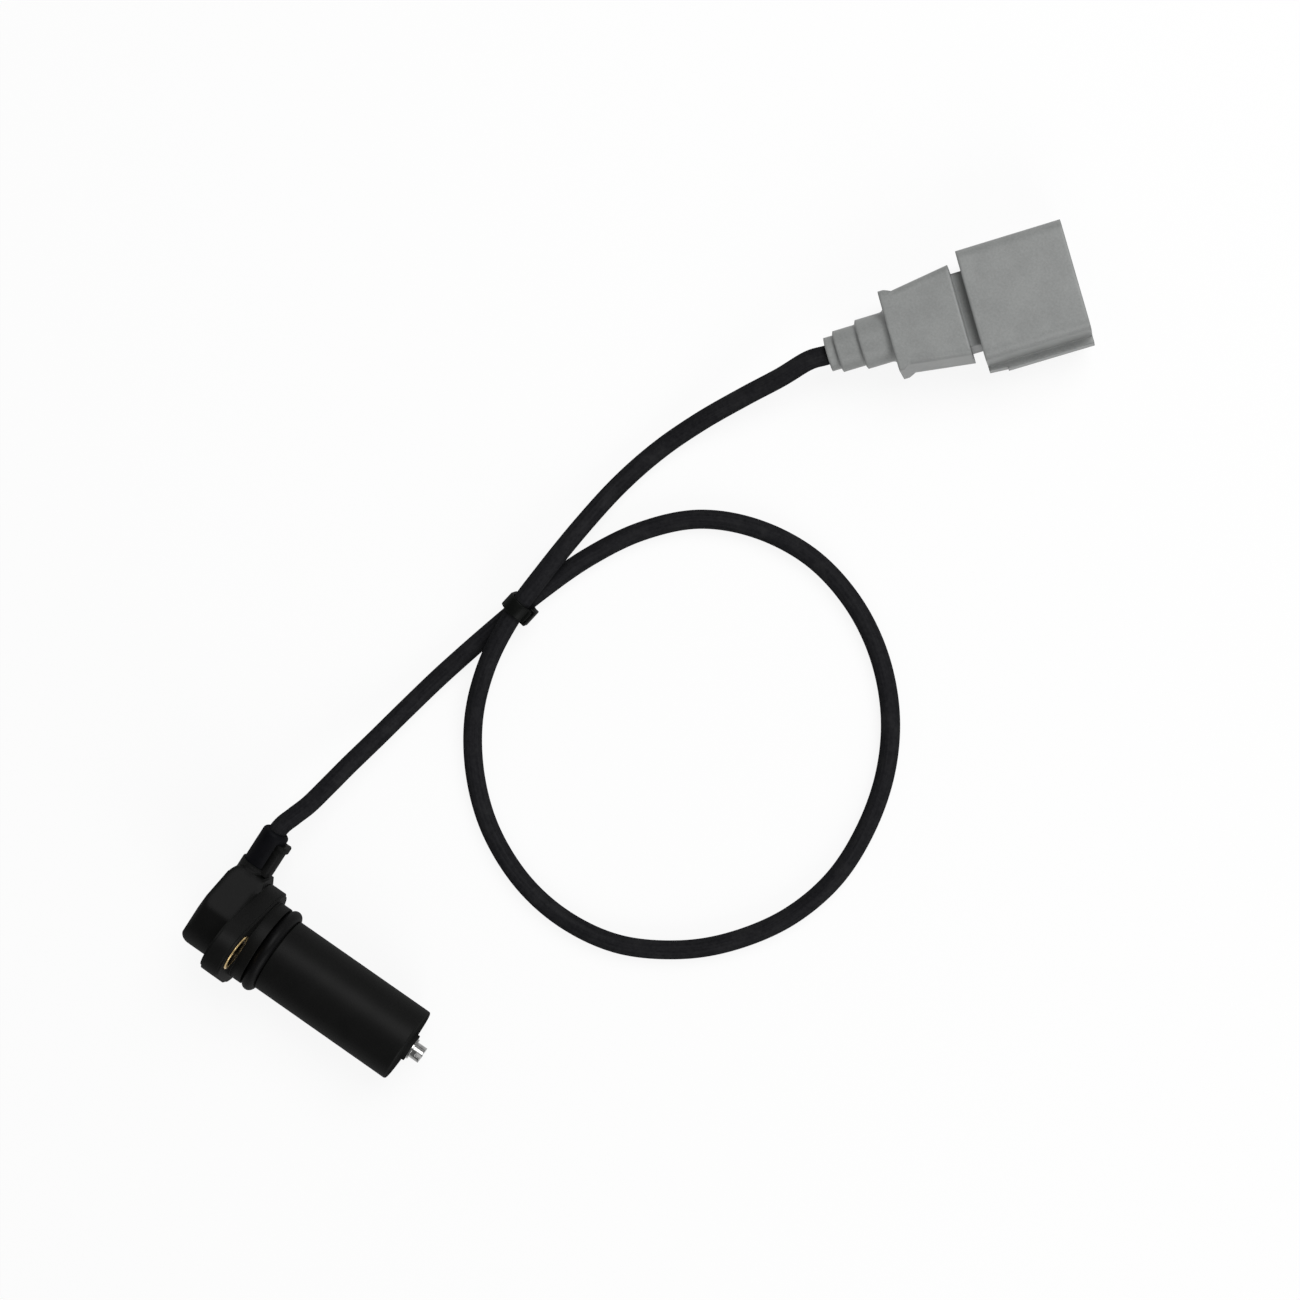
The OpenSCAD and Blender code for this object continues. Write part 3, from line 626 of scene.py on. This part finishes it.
def tie_tail():
    """The strap's end in the window, cut a little above the head, and the pawl that holds it."""
    tail = rounded_box((TAIL_T, TAIL_W, TAIL_L), (TAIL_X, 0, TAIL_Z), CUT_BEVEL, CUT_SEGMENTS)
    pawl = rounded_box(PAWL_SIZE, (PAWL_X, 0, PAWL_Z), CUT_BEVEL, CUT_SEGMENTS)
    return [tail, pawl]


def union(solids):
    """One closed mesh from solids that overlap."""
    base = solids[0]
    for other in solids[1:]:
        joined = base.modifiers.new("union", "BOOLEAN")
        joined.operation = "UNION"
        joined.solver = "EXACT"
        joined.object = other
    graph = bpy.context.evaluated_depsgraph_get()
    data = bpy.data.meshes.new_from_object(base.evaluated_get(graph))
    for obj in solids:
        bpy.data.objects.remove(obj)
    return data


def build_tie():
    """The whole tie as one mesh, at its place on the cable."""
    data = union([strap()] + tie_head() + tie_tail())
    data.transform(Matrix.Scale(MM, 4) @ Matrix.Translation(TIE_AT) @ Matrix.Rotation(TIE_TURN, 4, "Z"))
    data.materials.append(nylon_black)
    for face in data.polygons:
        face.use_smooth = True
    data.set_sharp_from_angle(angle=SHARP_FROM)
    return add_object("tie", data)


tie = build_tie()
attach(tie, "root")
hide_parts("cable_tie")


# Floor: a wide round floor that turns up into a low wall through a cove, in millimetres
FLOOR_R = 9000
FLOOR_SIDES = 96
FLOOR_BELOW = 0.02
COVE_R = 2000
COVE_STEPS = 12
WALL_TOP = 2600
FLOOR_GREY = (0.6, 0.6, 0.6)
FLOOR_WHITE = (0.99, 0.99, 0.99)
FLOOR_GLOW = 0.88


def floor_material():
    """White where it is seen directly, reflected or through something, and greyer as a source of light."""
    material, tree, shader = new_material("floor_white")
    shader.inputs["Roughness"].default_value = 0.9
    shader.inputs["Specular IOR Level"].default_value = 0.1
    rays = add(tree, "ShaderNodeLightPath").outputs
    seen = calculate(tree, "MAXIMUM", rays["Is Camera Ray"], rays["Is Glossy Ray"])
    seen = calculate(tree, "MAXIMUM", seen, rays["Is Transmission Ray"])
    tree.links.new(mix_colour(tree, seen, FLOOR_GREY, FLOOR_WHITE), shader.inputs["Base Color"])
    glow = add(tree, "ShaderNodeEmission", {"Color": (1, 1, 1, 1), "Strength": 1.0})
    blend = add(tree, "ShaderNodeMixShader")
    tree.links.new(calculate(tree, "MULTIPLY", seen, FLOOR_GLOW), blend.inputs[0])
    tree.links.new(shader.outputs[0], blend.inputs[1])
    tree.links.new(glow.outputs[0], blend.inputs[2])
    tree.links.new(blend.outputs[0], tree.nodes["Material Output"].inputs["Surface"])
    return material


def make_floor():
    """The floor's mesh: a disc, and rings out to the top of the wall."""
    level = cad_box[0].z / MM - FLOOR_BELOW
    profile = [(FLOOR_R / 6, 0), (FLOOR_R / 2, 0), (FLOOR_R, 0)]
    for k in range(1, COVE_STEPS + 1):
        angle = 0.5 * math.pi * k / COVE_STEPS
        profile.append((FLOOR_R + COVE_R * math.sin(angle), COVE_R * (1 - math.cos(angle))))
    profile.append((FLOOR_R + COVE_R, WALL_TOP))
    turns = [2 * math.pi * k / FLOOR_SIDES for k in range(FLOOR_SIDES)]
    verts = [(r * math.cos(turn), r * math.sin(turn), level + z) for r, z in profile for turn in turns]
    faces = [tuple(range(FLOOR_SIDES))]
    for i in range(len(profile) - 1):
        inner = i * FLOOR_SIDES
        outer = inner + FLOOR_SIDES
        for k in range(FLOOR_SIDES):
            n = (k + 1) % FLOOR_SIDES
            faces.append((inner + n, inner + k, outer + k, outer + n))
    return make_object("floor", verts, faces, floor_material())


make_floor()


# Lamps and world, in metres and watts
MIDDLE = (0.045, 0.1, 0.0)
KEY_AT = (0.08, 0.78, 0.85)
KEY_SIZE = 0.75
KEY_WATTS = 7.9
FILL_AT = (0.8, -0.35, 0.5)
FILL_SIZE = 0.7
FILL_WATTS = 4.0
WORLD_STRENGTH = 0.25


def add_lamp(name, at, size, watts):
    """A round lamp that points at the middle of the part."""
    data = bpy.data.lights.new(name, "AREA")
    data.shape = "DISK"
    data.size = size
    data.energy = watts
    lamp = add_object(name, data)
    lamp.location = at
    lamp.rotation_euler = (Vector(MIDDLE) - Vector(at)).to_track_quat("-Z", "Y").to_euler()


add_lamp("key", KEY_AT, KEY_SIZE, KEY_WATTS)
add_lamp("fill", FILL_AT, FILL_SIZE, FILL_WATTS)

world = bpy.data.worlds.new("world")
world.use_nodes = True
background = world.node_tree.nodes["Background"]
background.inputs["Color"].default_value = (1, 1, 1, 1)
background.inputs["Strength"].default_value = WORLD_STRENGTH
bpy.context.scene.world = world

bpy.context.scene.view_settings.view_transform = "Standard"
